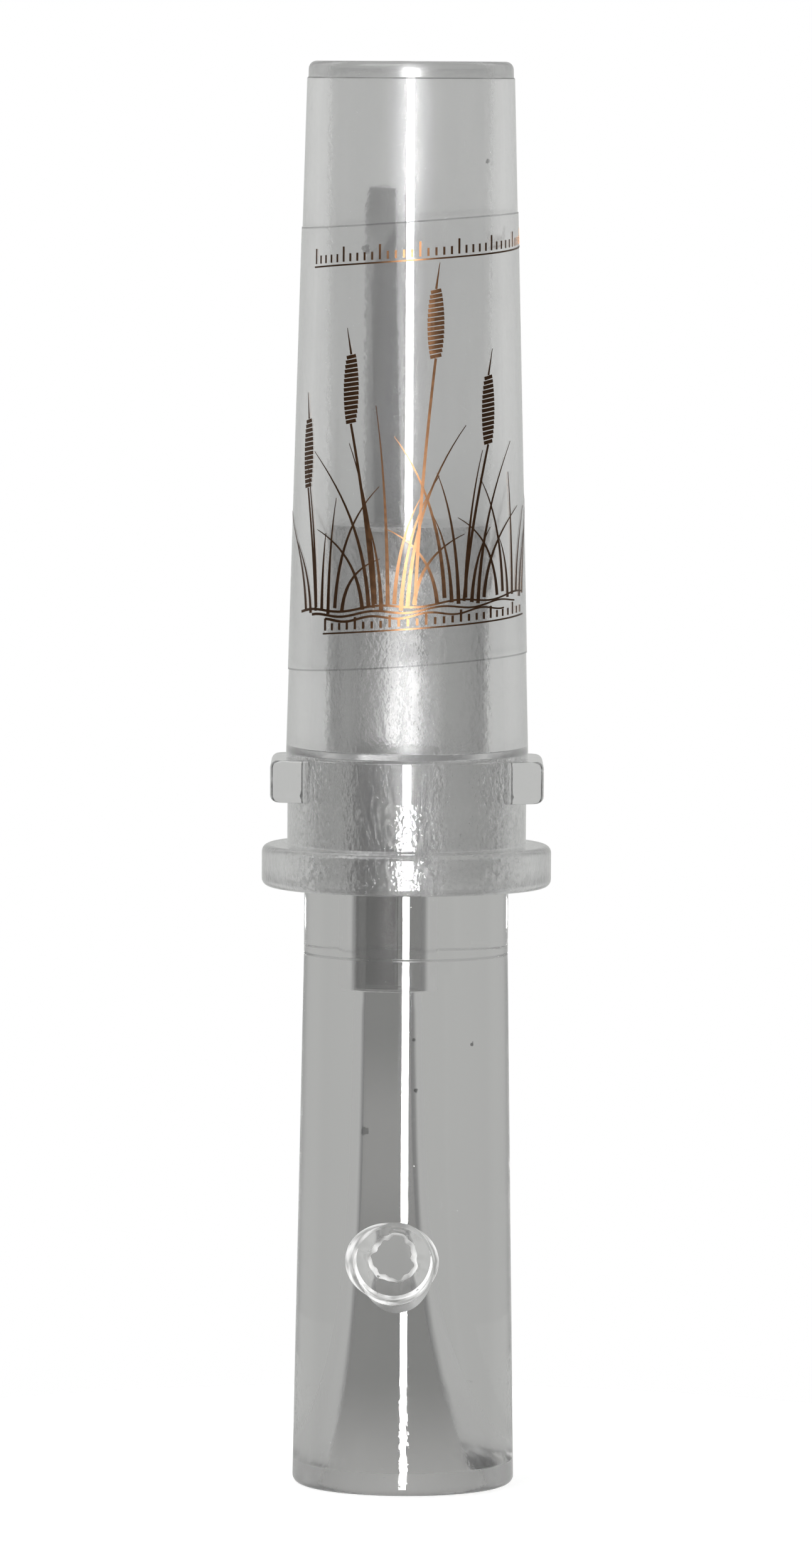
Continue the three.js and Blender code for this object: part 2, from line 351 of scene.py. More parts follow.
def patchMask(tree, patch):
    # One to the right of a plane and between two heights, with soft edges.
    split = addNode(tree, "ShaderNodeSeparateXYZ", {0: objectPlace(tree)})
    mask = 1.0
    for axis, start, end in (
        ("X", patch["left"] - patch["soft"], patch["left"]),
        ("Z", patch["low"] - patch["soft"], patch["low"]),
        ("Z", patch["high"] + patch["soft"], patch["high"]),
    ):
        ramp = addNode(tree, "ShaderNodeMapRange", {
            "Value": split.outputs[axis], "From Min": start * mm, "From Max": end * mm})
        mask = mathNode(tree, "MULTIPLY", ramp.outputs["Result"], mask)
    return mask


def paintedGlow(tree, look, height):
    # Painted light: a faint glow of the plastic's own, in the pattern of the surface's marks.
    low, high = look["glow"]
    gain = glowShape["gain"] * (high - low)
    start = low - glowShape["start"] * (high - low)
    glow = mathNode(tree, "MAXIMUM", mathNode(tree, "MULTIPLY_ADD", height, gain, start), 0.0)
    if "glowWithin" in look:
        glow = mathNode(tree, "MULTIPLY", glow, patchMask(tree, look["glowWithin"]))
    if "glowDepth" in look:
        depth = addNode(tree, "ShaderNodeLightPath").outputs["Ray Depth"]
        glow = mathNode(tree, "MULTIPLY", glow, mathNode(tree, "LESS_THAN", depth, look["glowDepth"]))
    return glow


def plasticColor(tree, look):
    # The plain tint, or the tints' steps one over the other, and the flecks over them.
    if "tint" in look:
        return grey(look["tint"], look["warmth"])
    source = None
    for low, high, lowLevel, highLevel in look["tints"]:
        tint = addGroup(tree, heightTint, {
            "Low": low * mm,
            "High": high * mm,
            "Low Color": grey(lowLevel, look["warmth"]) if source is None else source,
            "High Color": grey(highLevel, look["warmth"]),
        })
        source = tint.outputs["Color"]
    for x, y, z, radius, stretch, level in look.get("flecks", ()):
        mask = addGroup(tree, fleckMask, {
            "Place": (x * mm, y * mm, z * mm), "Radius": radius * mm, "Stretch": stretch})
        source = mixColors(tree, mask.outputs["Mask"], source, grey(level))
    return source


def clearPlastic(name, look):
    # Clear plastic: tinted in transmission, with its own marks, a thin coat for the broad gloss, and a
    # painted glow where a look asks for one.
    material = bpy.data.materials.new(name)
    material.use_nodes = True
    tree = material.node_tree
    marks = addGroup(tree, surfaceMarks, look["marks"])
    bump = addNode(tree, "ShaderNodeBump", {
        "Strength": look["bump"],
        "Distance": look["bumpDepth"] * mm,
        "Height": marks.outputs["Height"],
    })
    inputs = {
        "Transmission Weight": 1.0,
        "Metallic": 0.0,
        "IOR": look["ior"],
        "Coat Weight": look["coat"],
        "Coat Roughness": look["coatRoughness"],
        "Roughness": marks.outputs["Roughness"],
        "Normal": bump.outputs["Normal"],
        "Base Color": plasticColor(tree, look),
    }
    if "gloss" in look:
        inputs["Specular Tint"] = grey(look["gloss"])
    if look.get("coatBump"):
        inputs["Coat Normal"] = bump.outputs["Normal"]
    # painted glow: emission that stands in for light on the plastic
    if "glow" in look:
        inputs["Emission Color"] = paintedGlow(tree, look, marks.outputs["Height"])
        inputs["Emission Strength"] = 1.0
    shader = tree.nodes["Principled BSDF"]
    for label, value in inputs.items():
        feed(tree, shader.inputs[label], value)
    return material


def addLooks(piece, looks):
    for label, look in looks.items():
        piece.data.materials.append(clearPlastic(label, look))


# The turned step inside the barrel's socket, and the one on the insert that meets it
coneLook = {
    **plainPlastic,
    "bump": 0.5,
    "bumpDepth": 0.04,
    "tint": 0.9,
    "marks": {"Scratch Scale": 1500.0, "Base Roughness": 0.1, "Smudge Roughness": 0.2},
}


# Barrel

barrelLooks = {
    "clearAcrylic": {
        **plainPlastic,
        "coat": 1.0,
        "coatRoughness": 0.04,
        "bump": 0.12,
        "bumpDepth": 0.02,
        "glow": (0.024, 0.036),    # painted glow: a faint light of its own that lightens the mouthpiece, in the pattern of its marks
        "glowWithin": {"left": -20.0, "low": 104.0, "high": 150.0, "soft": 12.0},
        "tints": ((58.0, 80.0, 0.95, 0.985),),
        "marks": {"Scratch Scale": 1500.0, "Base Roughness": 0.02, "Smudge Roughness": 0.06},
        "flecks": (
            (-4.35, -9.85, 123.3, 0.42, 1.2, 0.35),
            (7.45, -7.2, 132.0, 0.3, 1.0, 0.2),
        ),
    },
    "stepAcrylic": {    # the turned line under the lip
        **plainPlastic,
        "bump": 0.4,
        "bumpDepth": 0.03,
        "tint": 0.30,
        "marks": {"Scratch Scale": 1500.0, "Base Roughness": 0.2, "Smudge Roughness": 0.2},
    },
    "socketAcrylic": coneLook,
    "collarAcrylic": {
        **plainPlastic,
        "coat": 1.0,
        "coatRoughness": 0.09,
        "coatBump": True,
        "bump": 0.8,
        "bumpDepth": 0.05,
        "tint": 1.0,
        "marks": {
            "Scratch Scale": 2600.0, "Stretch": 0.7, "Base Roughness": 0.05, "Smudge Roughness": 0.2},
    },
    "boredSocketAcrylic": {
        **plainPlastic,
        "bump": 1.0,
        "bumpDepth": 0.14,
        "tint": 1.0,
        "marks": {
            "Scratch Scale": 2300.0, "Stretch": 0.7, "Base Roughness": 0.1, "Smudge Roughness": 0.2},
    },
    "rimAcrylic": {
        **plainPlastic,
        "coat": 0.5,
        "bump": 0.7,
        "bumpDepth": 0.04,
        "tint": 0.8,
        "marks": {
            "Scratch Scale": 1500.0, "Stretch": 1.0, "Base Roughness": 0.14, "Smudge Roughness": 0.3},
    },
}
barrelShape = {
    "mouthRadius": 10.25,
    "rootRadius": 12.05,
    "flange": (14.4, 4.15),      # radius and width
    "grooveRadius": 11.875,
    "grooveWidth": 4.5,
    "ear": (13.55, 4.2),         # reach of its flat outer face and width
    "earHalfSpan": 7.0,          # from an ear's middle to its front or back end
    "earEndRound": 0.3,
    "earCorner": 0.9,            # round between the outer face and the ends
    "earSplay": 12,              # degrees that an ear's end leans back towards its outer face
    "earDraft": 1.0,             # degrees of wall beside an ear that hold its foot
    "earRoot": 0.02,             # an ear's outline starts this far out of the wall
    "earColumns": 41,
    "earShares": (0.5, 0.8),     # shares of its columns at which the flat and the corner end
    "wallColumns": 55,
    "wallGap": 0.1,              # the taper starts this far over the ears
    "ringCorner": 0.75,
    "rimRadius": 1.1,
    "rimStepDrop": 1.7,
    "rimStepDepth": 0.12,
    "boreRadius": 8.04,
    "socketRadius": 9.85,
    "socketDepth": 13.15,
    "socketCone": 0.5,
    "edge": 0.4,
    "smallFillet": 0.12,
    # How far past its corners each surface's own material reaches
    "stepBand": 0.07,
    "coneBand": (0.05, 0.06),
    "rimBand": 0.08,
}


def earTopHeight():
    shape = barrelShape
    return barrelLow + shape["flange"][1] + shape["grooveWidth"] + shape["ear"][1]


def barrelRadius(height):
    shape = barrelShape
    share = (height - earTopHeight()) / (barrelHigh - earTopHeight())
    return shape["rootRadius"] + (shape["mouthRadius"] - shape["rootRadius"]) * share


def barrelColumns():
    # Angles round the barrel from its front; a column in an ear also has its share of the ear's span
    shape = barrelShape
    half = math.asin(shape["earHalfSpan"] / shape["grooveRadius"])
    clear = half + math.radians(shape["earDraft"])
    columns = []
    for middle in (math.pi / 2, 3 * math.pi / 2):
        for step in range(shape["earColumns"]):
            share = 2 * step / (shape["earColumns"] - 1) - 1
            columns.append((middle + half * share, share))
        for step in range(shape["wallColumns"]):
            turn = clear + (math.pi - 2 * clear) * step / (shape["wallColumns"] - 1)
            columns.append((middle + turn, None))
    return columns


def columnRing(columns, radius, height):
    return [(radius * math.sin(angle), -radius * math.cos(angle), height) for angle, share in columns]


def earPoint(share, inset):
    # A point of an ear's outline in plan: flat outer face, round corner, and end down to the wall
    shape = barrelShape
    reach = shape["ear"][0] - inset
    span = shape["earHalfSpan"] - shape["earEndRound"] * min(1.0, inset / shape["ringCorner"])
    corner = shape["earCorner"]
    foot = math.sqrt(shape["grooveRadius"] ** 2 - span ** 2)
    lean = math.tan(math.radians(shape["earSplay"]))
    near = span - (reach - corner - foot) * lean
    flatEnd, cornerEnd = shape["earShares"]
    away = abs(share)
    if away <= flatEnd:
        x, y = reach, (near - corner) * away / flatEnd
    elif away <= cornerEnd:
        turn = math.pi / 2 * (away - flatEnd) / (cornerEnd - flatEnd)
        x, y = reach - corner + corner * math.cos(turn), near - corner + corner * math.sin(turn)
    else:
        back = (away - cornerEnd) / (1 - cornerEnd)
        x, y = reach - corner + (foot - reach + corner) * back, near + (span - near) * back
    return x, math.copysign(y, share)


def earRing(columns, radius, height, wallHeight):
    # A ring through both ears: their own outline at the sides, and the groove's wall between them
    shape = barrelShape
    atRoot = radius - shape["grooveRadius"] < 2 * shape["earRoot"]
    half = math.asin(shape["earHalfSpan"] / shape["grooveRadius"])
    ring = []
    for index, (angle, share) in enumerate(columns):
        if share is None:
            ring += columnRing([(angle, None)], shape["grooveRadius"], wallHeight)
            continue
        side = 1 if index < len(columns) / 2 else -1
        if atRoot:
            x, y = radius * math.cos(half * share), radius * math.sin(half * share)
        else:
            x, y = earPoint(share, shape["ear"][0] - radius)
        ring.append((side * x, side * y, height))
    return ring


def makeBarrel():
    shape = barrelShape
    soft = shape["smallFillet"]
    flangeTop = barrelLow + shape["flange"][1]
    earLow = flangeTop + shape["grooveWidth"]
    earTop = earTopHeight()
    step = barrelHigh - shape["rimStepDrop"]
    stepRadius = barrelRadius(step)
    lip = barrelRadius(barrelHigh) - shape["rimStepDepth"]
    socketTop = barrelLow + shape["socketDepth"]
    corners = [
        (shape["socketRadius"] + shape["edge"], barrelLow, soft),
        (shape["flange"][0], barrelLow, shape["ringCorner"]),
        (shape["flange"][0], flangeTop, shape["ringCorner"]),
        (shape["grooveRadius"], flangeTop, 2 * soft),
        (shape["grooveRadius"], earLow, 0.0),
        (shape["grooveRadius"], earTop, 0.0),
        (barrelRadius(earTop), earTop + shape["wallGap"], 0.0),
        (stepRadius, step, soft / 4),
        (stepRadius - shape["rimStepDepth"], step + shape["rimStepDepth"], soft / 4),
        (lip, barrelHigh, shape["rimRadius"]),
        (shape["boreRadius"] + shape["edge"], barrelHigh, soft),
        (shape["boreRadius"], barrelHigh - shape["edge"], soft),
        (shape["boreRadius"], socketTop + shape["socketCone"], soft),
        (shape["socketRadius"], socketTop, soft),
        (shape["socketRadius"], barrelLow + shape["edge"], soft),
    ]
    points = roundedProfile(corners)
    earCorners = [
        (shape["grooveRadius"] + shape["earRoot"], earLow, 0.0),
        (shape["ear"][0], earLow, shape["ringCorner"]),
        (shape["ear"][0], earTop, shape["ringCorner"]),
        (shape["grooveRadius"] + shape["earRoot"], earTop, 0.0),
    ]
    earPoints = roundedProfile(earCorners)
    columns = barrelColumns()
    near = turning["near"]
    coneUnder, coneOver = shape["coneBand"]
    rings = []
    bands = []
    for radius, height in points:
        rings.append(columnRing(columns, radius, height))
        if stepRadius + near > radius > shape["boreRadius"] + 1 and abs(height - step) < shape["stepBand"]:
            bands.append("stepAcrylic")
        elif (radius < shape["socketRadius"] + near
              and -coneUnder < height - socketTop < shape["socketCone"] + coneOver):
            bands.append("socketAcrylic")
        elif radius > shape["grooveRadius"] - near and height < earTop:
            bands.append("collarAcrylic")
        elif abs(radius - shape["socketRadius"]) < near and height < socketTop:
            bands.append("boredSocketAcrylic")
        elif height > step + shape["rimBand"]:
            bands.append("rimAcrylic")
        else:
            bands.append("clearAcrylic")
        if radius == shape["grooveRadius"] and height == earLow:
            for index, (earRadius, earHeight) in enumerate(earPoints):
                wallHeight = earLow + (earTop - earLow) * (index + 1) / (len(earPoints) + 1)
                rings.append(earRing(columns, earRadius, earHeight, wallHeight))
                bands.append("clearAcrylic")
    labels = list(barrelLooks)
    barrel = loftRings("barrel_body", rings, [labels.index(label) for label in bands])
    addLooks(barrel, barrelLooks)
    return finishPiece(shadeTurned(barrel), "barrel_body", "clear_acrylic", "barrel")


# Insert

insertLooks = {
    "smokeAcrylic": {
        **plainPlastic,
        "warmth": 0.004,
        "bump": 0.1,
        "bumpDepth": 0.02,
        "tints": ((0.0, 60.0, 0.74, 0.78),),
        "marks": {"Scratch Scale": 1200.0, "Base Roughness": 0.015, "Smudge Roughness": 0.05},
        "flecks": (
            (-3.97, -9.68, 36.3, 0.45, 1.0, 0.25),
            (1.1, -10.38, 40.4, 0.22, 1.0, 0.1),
            (6.65, -7.94, 44.8, 0.24, 1.0, 0.1),
            (0.87, -10.26, 45.4, 0.2, 1.0, 0.15),
            (8.9, -6.4, 8.1, 0.2, 2.6, 0.2),
            (10.2, -3.9, 7.9, 0.2, 2.2, 0.25),
        ),
    },
    "turnedAcrylic": {    # the land and the tenon
        **plainPlastic,
        "coat": 1.0,
        "coatRoughness": 0.3,
        "coatBump": True,
        "warmth": 0.003,
        "bump": 1.0,
        "bumpDepth": 0.14,
        "tints": ((72.0, 75.0, 0.63, 0.8),),
        "marks": {
            "Scratch Scale": 2300.0, "Stretch": 0.7, "Base Roughness": 0.14, "Smudge Roughness": 0.2},
    },
    "boredAcrylic": {
        **plainPlastic,
        "gloss": 0.0,    # no plain reflection, so the lamps don't show twice
        "warmth": 0.004,
        "bump": 0.3,
        "bumpDepth": 0.03,
        "glow": (0.0, 0.2),    # the frosted wedge presses on the bore here; the bright patch is a painted highlight, a glow of the bore's own
        "glowWithin": {"left": -1.34, "low": 74.2, "high": 91.2, "soft": 0.15},
        "tints": (
            (0.0, 12.0, 0.90, 0.53),
            (20.0, 32.0, 0.53, 0.66),
            (36.0, 46.0, 0.66, 0.50),
            (72.0, 75.0, 0.50, 0.92),
        ),
        "marks": {"Scratch Scale": 1600.0, "Base Roughness": 0.08, "Smudge Roughness": 0.1},
    },
    "seamAcrylic": {
        **plainPlastic,
        "bump": 0.3,
        "bumpDepth": 0.03,
        "tint": 0.6,
        "marks": {"Scratch Scale": 1500.0, "Base Roughness": 0.25, "Smudge Roughness": 0.2},
    },
    "lipAcrylic": {
        **plainPlastic,
        "warmth": 0.002,
        "bump": 0.3,
        "bumpDepth": 0.03,
        "tint": 0.9,
        "marks": {"Scratch Scale": 1400.0, "Base Roughness": 0.3, "Smudge Roughness": 0.2},
    },
    "shoulderAcrylic": coneLook,
    "footAcrylic": {
        **plainPlastic,
        "warmth": 0.004,
        "bump": 0.7,
        "bumpDepth": 0.02,
        "tints": ((0.0, 60.0, 0.74, 0.78),),
        "marks": {
            "Scratch Scale": 1500.0, "Stretch": 0.8, "Base Roughness": 0.03, "Smudge Roughness": 0.1},
    },
}
insertShape = {
    "endRadius": 11.05,
    "shoulderRadius": 10.15,
    "shoulderHeight": 59.75,
    "endCorner": 0.8,
    "seamDrop": 6.4,
    "seamWidth": 0.26,
    "seamDepth": 0.08,
    "landRadius": 9.75,
    "landTop": 72.8,
    "shoulderCone": 0.5,
    "tenonRadius": 7.94,
    "tenonChamfer": 0.4,
    "airwayRadius": 2.25,
    "flareRadius": 8.05,
    "flareReach": 10.5,
    "flareRows": 60,
    "lipRadius": 8.8,
    "lipDepth": 2.0,
    "socketRadius": 3.35,
    "socketFloor": 49.6,
    "rowStep": 0.4,        # height of a row of facets round the tone hole
    "holeZone": (17.0, 29.0),
    "footHeight": 11.2,    # under it the turned outside is a little wavy
    "smallFillet": 0.12,
    "throat": 1.0,         # plain air way under the socket's floor
    "flareCrowd": 1.4,     # over one, the flare's rows stand closer near its mouth
    # How far past its corners each surface's own material reaches
    "endBand": 0.1,
    "coneBand": (0.05, 0.1),
}
toneHole = {
    "height": 22.9,
    "offset": 1.05,
    "radius": 3.9,
    "sides": 96,
    "floor": 4.4,
    "floorRound": 0.45,
    "pilot": 2.0,
    "pilotEdge": 0.45,
    "pilotDrop": 0.3,      # the pilot hole's wall ends this far under its torn edge
    "ragged": 0.2,
    # The torn edge's waves: how many round the hole, their size and where they start
    "waves": ((3, 1.0, 0.8), (7, 0.6, 0.0), (13, 0.4, 2.0)),
    "pointAngle": 118,
    "wallStop": 0.1,       # the wall flares a little over this last stretch under the countersink
    "wallFlare": 0.08,
    "edgeRadius": 4.6,
    "edgeDepth": 0.5,
    "skin": 10.71,
    "past": 4.0,
    "pastFlare": 0.5,
}
toneHoleLooks = {
    "drilledAcrylic": {
        **plainPlastic,
        "coat": 0.5,
        "coatRoughness": 0.1,
        "warmth": 0.002,
        "bump": 0.5,
        "bumpDepth": 0.05,
        "tint": 0.95,
        "marks": {"Scratch Scale": 2500.0, "Base Roughness": 0.06, "Smudge Roughness": 0.15},
    },
    "countersunkAcrylic": {
        **plainPlastic,
        "coat": 1.0,
        "coatRoughness": 0.35,
        "bump": 0.5,
        "bumpDepth": 0.04,
        "tint": 0.98,
        "marks": {"Scratch Scale": 2500.0, "Base Roughness": 0.35, "Smudge Roughness": 0.2},
    },
    "burrAcrylic": {
        **plainPlastic,
        "coat": 1.0,
        "coatRoughness": 0.45,
        "warmth": 0.02,
        "bump": 0.6,
        "bumpDepth": 0.05,
        "glow": (-0.4, 1.1),    # painted glints: the torn edge glows of its own in irregular arcs
        "glowDepth": 2.5,       # further round the plastic the painted glow would light the bell's foot
        "tint": 1.0,
        "marks": {
            "Scratch Scale": 340.0, "Stretch": 1.0, "Base Roughness": 0.5, "Smudge Roughness": 0.2},
    },
}


def flareShare(height):
    return math.exp(-(height - insertShape["lipDepth"]) / insertShape["flareReach"])


def coreShift(height):
    return -turning["coreOffset"] * (1 - min(1.0, flareShare(height)))


def insertCorners(seam):
    # Up the insert's outside and down its core, with the round of each corner.
    shape = insertShape
    soft = shape["smallFillet"]
    half = shape["seamWidth"] / 2
    taper = (shape["endRadius"] - shape["shoulderRadius"]) / seam
    top = insertHigh
    return [
        (shape["lipRadius"], 0.0, soft),
        (shape["endRadius"], 0.0, shape["endCorner"]),
        (shape["endRadius"] - taper * shape["footHeight"], shape["footHeight"], 0.0),
        (shape["shoulderRadius"], seam - 2 * half, 0.0),
        (shape["shoulderRadius"] - shape["seamDepth"], seam - half, 0.0),
        (shape["shoulderRadius"], seam, 0.0),
        (shape["shoulderRadius"], shape["shoulderHeight"], soft),
        (shape["landRadius"], shape["shoulderHeight"], soft),
        (shape["landRadius"], shape["landTop"], soft),
        (shape["tenonRadius"], shape["landTop"] + shape["shoulderCone"], 2 * soft),
        (shape["tenonRadius"], top - shape["tenonChamfer"], soft),
        (shape["tenonRadius"] - shape["tenonChamfer"], top, soft),
        (shape["socketRadius"], top, soft),
        (shape["socketRadius"], shape["socketFloor"], soft),
        (shape["airwayRadius"], shape["socketFloor"], soft),
        (shape["airwayRadius"], shape["socketFloor"] - shape["throat"], 0.0),
        (shape["flareRadius"], shape["lipDepth"], 0.0),
    ]


def insertBand(radius, height, seam):
    # The material of the outside's band that starts at this point.
    shape = insertShape
    near = turning["near"]
    coneUnder, coneOver = shape["coneBand"]
    if -near - shape["seamWidth"] < height - seam < -near:
        return "seamAcrylic"
    if (radius > shape["tenonRadius"] - near
            and -coneUnder < height - shape["landTop"] < shape["shoulderCone"] + coneOver):
        return "shoulderAcrylic"
    if radius > shape["landRadius"] and 0 < height < shape["footHeight"] - near:
        return "footAcrylic"
    return "turnedAcrylic" if height >= shape["shoulderHeight"] - near else "smokeAcrylic"


def insertRings():
    # Rings of the insert and the material of the band over each.
    shape = insertShape
    near = turning["near"]
    seam = shape["shoulderHeight"] - shape["seamDrop"]
    throat = shape["socketFloor"] - shape["throat"]
    low, high = shape["holeZone"]
    points = roundedProfile(insertCorners(seam))
    rings = []
    bands = []
    for index, (radius, height) in enumerate(points):
        following = points[(index + 1) % len(points)]
        inCore = radius <= shape["flareRadius"] and index > len(points) / 2
        onTenon = (shape["tenonRadius"] + 1 > radius > shape["socketRadius"] + 1
                   and height > shape["landTop"] - 1)
        onCore = inCore and not onTenon
        rings.append(turnedRing(radius, height, turning["sides"], coreShift(height) if onCore else 0.0))
        endReach = shape["endRadius"] - shape["endCorner"] + shape["endBand"]
        if index == len(points) - 1 or (height < near and radius < endReach):
            bands.append("lipAcrylic")
        elif onCore:
            bands.append("boredAcrylic")
        else:
            bands.append(insertBand(radius, height, seam))
        if radius > shape["landRadius"] and height < low and following[1] > high:
            rows = round((high - low) / shape["rowStep"])
            for row in range(rows + 1):
                level = low + (high - low) * row / rows
                share = (level - height) / (following[1] - height)
                skin = radius + (following[0] - radius) * share
                rings.append(turnedRing(skin, level, turning["sides"]))
                bands.append("smokeAcrylic")
        if abs(height - throat) < near and inCore:
            for row in range(1, shape["flareRows"]):
                share = (1 - row / shape["flareRows"]) ** shape["flareCrowd"]
                level = shape["lipDepth"] + (throat - shape["lipDepth"]) * share
                spread = (shape["flareRadius"] - shape["airwayRadius"]) * flareShare(level)
                rings.append(turnedRing(shape["airwayRadius"] + spread, level,
                                        turning["sides"], coreShift(level)))
                bands.append("boredAcrylic")
    return rings, bands


def makeToneHoleCutter():
    shape = toneHole
    pilot = shape["pilot"]
    edge = shape["pilotEdge"]
    slope = 1 / math.tan(math.radians(shape["pointAngle"] / 2))
    shoulder = shape["floor"] - (shape["radius"] - pilot) * slope
    edgeStart = shape["skin"] - shape["edgeDepth"]
    end = shape["skin"] + shape["past"]
    corners = [
        (pilot, 0.0, 0.0),
        (pilot, shoulder - shape["pilotDrop"], 0.0),
        (pilot + edge, shoulder + edge * slope, 0.0),
        (shape["radius"], shape["floor"], shape["floorRound"]),
        (shape["radius"], edgeStart - shape["wallStop"], 0.0),
        (shape["radius"] + shape["wallFlare"], edgeStart, 0.0),
        (shape["edgeRadius"], shape["skin"], 0.0),
        (shape["edgeRadius"] + shape["pastFlare"], end, 0.0),
        (0.0, end, 0.0),
        (0.0, 0.0, 0.0),
    ]
    profile = roundedProfile(corners)[:-2]
    rings = []
    for radius, out in profile:
        near = max(0.0, 1 - abs(radius - pilot) / (2 * edge))
        ring = []
        for side in range(shape["sides"]):
            turn = math.tau * side / shape["sides"]
            wave = sum(size * math.sin(count * turn + start) for count, size, start in shape["waves"])
            reach = radius + shape["ragged"] * near * wave
            ring.append((reach * math.sin(turn) - shape["offset"], -out,
                         reach * math.cos(turn) + shape["height"]))
        rings.append(ring)
    drilled, countersunk, burr = range(len(toneHoleLooks))
    bands = [burr, burr] + [drilled] * (len(rings) - 5) + [countersunk, countersunk]
    for band, (radius, out) in enumerate(profile):
        if abs(out - shape["floor"]) < shape["floorRound"] and radius > pilot + 1:
            bands[band] = burr
    cutter = loftRings("tone_hole_cutter", rings, bands, closed=False, capped=True)
    addLooks(cutter, toneHoleLooks)
    return cutter


def makeInsert():
    rings, bands = insertRings()
    labels = list(insertLooks)
    insert = loftRings("insert_body", rings, [labels.index(label) for label in bands])
    addLooks(insert, insertLooks)
    cutAway(insert, makeToneHoleCutter())
    return finishPiece(shadeTurned(insert), "insert_body", "smoke_acrylic", "insert")


# Reed unit

reedUnitLooks = {
    "boardAcrylic": {
        **plainPlastic,
        "gloss": 0.3,
        "glow": (0.0, 0.3),    # painted highlight: the board glows of its own beside the frosted wedge
        "glowWithin": {"left": -1.4, "low": 74.2, "high": 91.2, "soft": 0.15},
        "coat": 0.1,
        "bump": 0.8,
        "bumpDepth": 0.04,
        "tints": (
            (58.0, 74.0, 0.75, 0.95),
            (94.0, 97.0, 0.95, 0.62),
            (122.0, 127.0, 0.62, 0.48),
        ),
        "marks": {"Scratch Scale": 1400.0, "Base Roughness": 0.05, "Smudge Roughness": 0.2},
    },
    "reedSheet": {
        **plainPlastic,
        "ior": 1.6,
        "coat": 0.2,
        "bump": 0.2,
        "bumpDepth": 0.02,
        "tint": 0.9,
        "marks": {"Scratch Scale": 1400.0, "Base Roughness": 0.12, "Smudge Roughness": 0.2},
    },
    "frostedPlastic": {
        **plainPlastic,
        "ior": 1.45,
        "coat": 1.0,
        "coatRoughness": 0.45,
        "bump": 0.6,
        "bumpDepth": 0.06,
        "glow": (0.0, 0.28),    # painted light: the wedge glows of its own, standing in for the window's light on frosted plastic
        "tint": 0.9,
        "marks": {
            "Scratch Scale": 1200.0, "Stretch": 0.4, "Base Roughness": 0.4, "Smudge Roughness": 0.3},
    },
}
reedUnit = {
    "boardRadius": 3.25,
    "flat": 0.6,
    "layAngle": 1.3,
    "troughWidth": 2.8,
    "troughDepth": 2.3,
    "troughStop": 4.5,
    "troughRamp": 5.0,
    "troughLeast": 0.02,    # the trough's depth past its end, where it only keeps the mesh's rows
    "tipChamfer": 0.4,
    "boardRows": 40,
    "backSteps": 40,
    "reedGap": 0.1,
    "reedThickness": 0.36,
    "reedWidth": 4.8,
    "reedTipRadius": 1.6,
    "reedTipSteps": 8,
    "reedEdge": 0.05,
    "wedgeGap": 0.1,
    "wedgeRelief": 1.0,
    "wedgeEdge": 0.15,
}


def segmentSection(radius, face, height, trough=None):
    # A round rod's section cut flat at x = face, solid towards -X, with an optional trough in the flat.
    half = math.acos(face / radius)
    steps = reedUnit["backSteps"]
    points = []
    for step in range(steps + 1):
        angle = half + (math.tau - 2 * half) * step / steps
        points.append((radius * math.cos(angle), radius * math.sin(angle)))
    if trough:
        width, depth = trough
        across = width / 2
        points += [(face, -across), (face - depth, -across), (face - depth, across), (face, across)]
    return [(x - turning["coreOffset"], y, height) for x, y in points]


def addOneLook(piece, label):
    piece.data.materials.append(clearPlastic(label, reedUnitLooks[label]))


def makeToneBoard():
    shape = reedUnit
    rings = []
    rampEnd = boardHigh - shape["troughStop"]
    for row in range(shape["boardRows"] + 1):
        height = boardLow + (boardHigh - boardLow) * row / shape["boardRows"]
        lean = max(0.0, height - wedgeHigh) * math.tan(math.radians(shape["layAngle"]))
        ramp = max(0.0, min(1.0, (rampEnd - height) / shape["troughRamp"]))
        depth = max(shape["troughLeast"], shape["troughDepth"] * math.sin(ramp * math.pi / 2))
        radius = shape["boardRadius"] - max(0.0, height - (boardHigh - shape["tipChamfer"]))
        rings.append(segmentSection(radius, shape["flat"] - lean, height, (shape["troughWidth"], depth)))
    board = loftRings("tone_board_rod", rings, closed=False, capped=True)
    addOneLook(board, "boardAcrylic")
    return finishPiece(shadeRound(board), "reed_unit", "smoke_acrylic", "tone_board")


def makeReed():
    shape = reedUnit
    half = shape["reedWidth"] / 2
    tip = shape["reedTipRadius"]
    outline = [(-half, reedLow), (half, reedLow)]
    steps = shape["reedTipSteps"]
    for turn, centre in ((0, half - tip), (90, tip - half)):
        for step in range(steps + 1):
            angle = math.radians(turn + 90 * step / steps)
            outline.append((centre + tip * math.cos(angle), reedHigh - tip + tip * math.sin(angle)))
    face = shape["flat"] + shape["reedGap"] - turning["coreOffset"]
    thick = shape["reedThickness"]
    soft = shape["reedEdge"]
    middle = (reedLow + reedHigh) / 2
    halfLength = (reedHigh - reedLow) / 2
    rings = []
    for inset, out in ((soft, 0.0), (0.0, soft), (0.0, thick - soft), (soft, thick)):
        scaleY = (half - inset) / half
        scaleZ = (halfLength - inset) / halfLength
        rings.append([(face + out, y * scaleY, middle + (z - middle) * scaleZ) for y, z in outline])
    reed = loftRings("reed_strip", rings, closed=False, capped=True)
    addOneLook(reed, "reedSheet")
    return finishPiece(markSharp(reed), "reed_blade", "reed_sheet", "reed")


